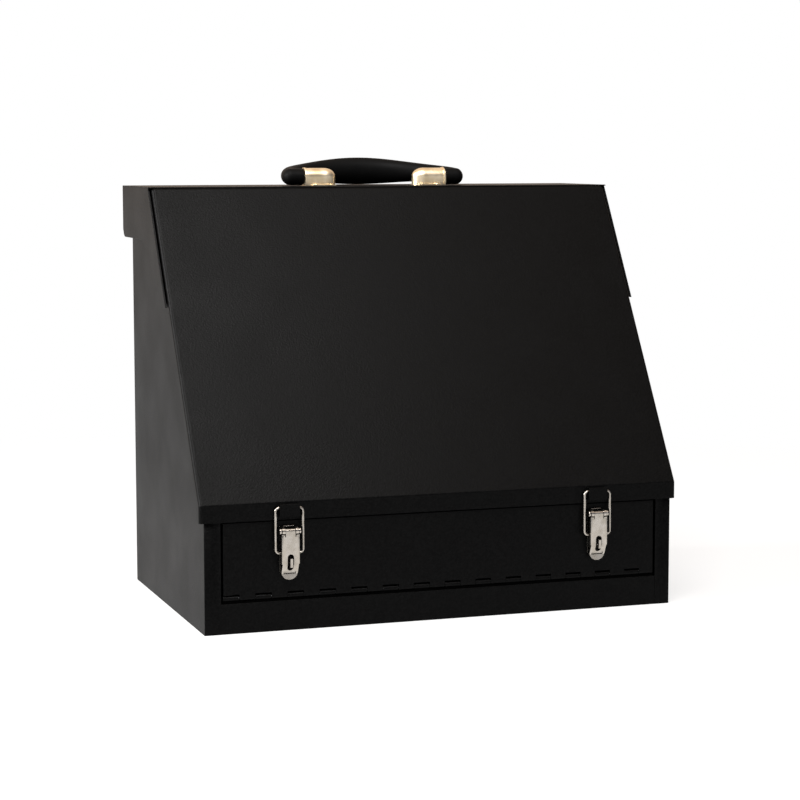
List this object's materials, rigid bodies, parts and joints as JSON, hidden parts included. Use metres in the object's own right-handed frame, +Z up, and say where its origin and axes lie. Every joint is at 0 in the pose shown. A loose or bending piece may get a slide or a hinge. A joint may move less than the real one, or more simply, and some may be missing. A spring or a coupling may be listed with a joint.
{
  "type": "portable tool box",
  "caption": "Steel tool box with a sloped lid hinged at the rear, a drop-down front door, wire-bail draw latches, stepped trays inside and a folding carrying handle.",
  "frame": {"origin": "centre of the object's plan outline, on the floor", "axes": "+X along the width to the right as seen from the front, +Y from front to rear, +Z up"},
  "size_m": [0.591, 0.3804, 0.5313],
  "materials": {
    "black_powder_coat": "fine textured matt powder coat",
    "nickel_plate": "satin nickel plate",
    "zinc_steel": "zinc plated",
    "seal_rubber": "matt foam rubber",
    "grip_plastic": "satin moulded"
  },
  "bodies": {
    "case": {"left_side_panel": "black_powder_coat", "right_side_panel": "black_powder_coat", "bottom_pan": "black_powder_coat", "back_panel": "black_powder_coat", "front_header": "black_powder_coat", "rim_seal": "seal_rubber", "middle_tray": "black_powder_coat", "upper_tray": "black_powder_coat", "door_hinge_case_leaf": "black_powder_coat", "door_hinge_pin": "zinc_steel", "lid_hinge_case_leaf": "black_powder_coat", "lid_hinge_pin": "zinc_steel", "lid_hinge_rivets": "zinc_steel"},
    "lid": {"lid_hood": "black_powder_coat", "left_lid_side_plate": "black_powder_coat", "right_lid_side_plate": "black_powder_coat", "lid_front_panel": "black_powder_coat", "lid_hinge_lid_leaf": "black_powder_coat", "left_handle_bracket": "nickel_plate", "right_handle_bracket": "nickel_plate", "bracket_rivets": "nickel_plate", "left_catch": "black_powder_coat", "right_catch": "black_powder_coat"},
    "door": {"door_panel": "black_powder_coat", "left_latch_base": "nickel_plate", "right_latch_base": "nickel_plate", "latch_rivets": "nickel_plate", "left_latch_pin": "nickel_plate", "right_latch_pin": "nickel_plate"},
    "left_lever": {"left_latch_lever": "nickel_plate"},
    "right_lever": {"right_latch_lever": "nickel_plate"},
    "left_bail": {"left_latch_bail": "nickel_plate"},
    "right_bail": {"right_latch_bail": "nickel_plate"},
    "handle": {"handle_grip": "grip_plastic", "handle_pins": "zinc_steel"}
  },
  "joints": [
    {"name": "lid_hinge", "type": "hinge", "parent": "case", "child": "lid", "pos_m": [0, 0.1847, 0.4345], "axis": [-1, 0, 0], "range_deg": [0, 115]},
    {"name": "door_hinge", "type": "hinge", "parent": "case", "child": "door", "pos_m": [0, -0.1718, 0.0402], "axis": [1, 0, 0], "range_deg": [0, 90]},
    {"name": "left_lever_pivot", "type": "hinge", "parent": "door", "child": "left_lever", "pos_m": [-0.1885, -0.1832, 0.115], "axis": [-1, 0, 0], "range_deg": [0, 150]},
    {"name": "left_bail_pivot", "type": "hinge", "parent": "left_lever", "child": "left_bail", "pos_m": [-0.1885, -0.181, 0.09], "axis": [-1, 0, 0], "range_deg": [-150, 0]},
    {"name": "right_lever_pivot", "type": "hinge", "parent": "door", "child": "right_lever", "pos_m": [0.1885, -0.1832, 0.115], "axis": [-1, 0, 0], "range_deg": [0, 150]},
    {"name": "right_bail_pivot", "type": "hinge", "parent": "right_lever", "child": "right_bail", "pos_m": [0.1885, -0.181, 0.09], "axis": [-1, 0, 0], "range_deg": [-150, 0]},
    {"name": "handle_pivot", "type": "hinge", "parent": "lid", "child": "handle", "pos_m": [0, 0.087, 0.5079], "axis": [1, 0, 0], "range_deg": [0, 90]}
  ],
  "couplings": [
    {"joint": "left_bail_pivot", "follows": "left_lever_pivot", "ratio": -1},
    {"joint": "right_bail_pivot", "follows": "right_lever_pivot", "ratio": -1}
  ]
}
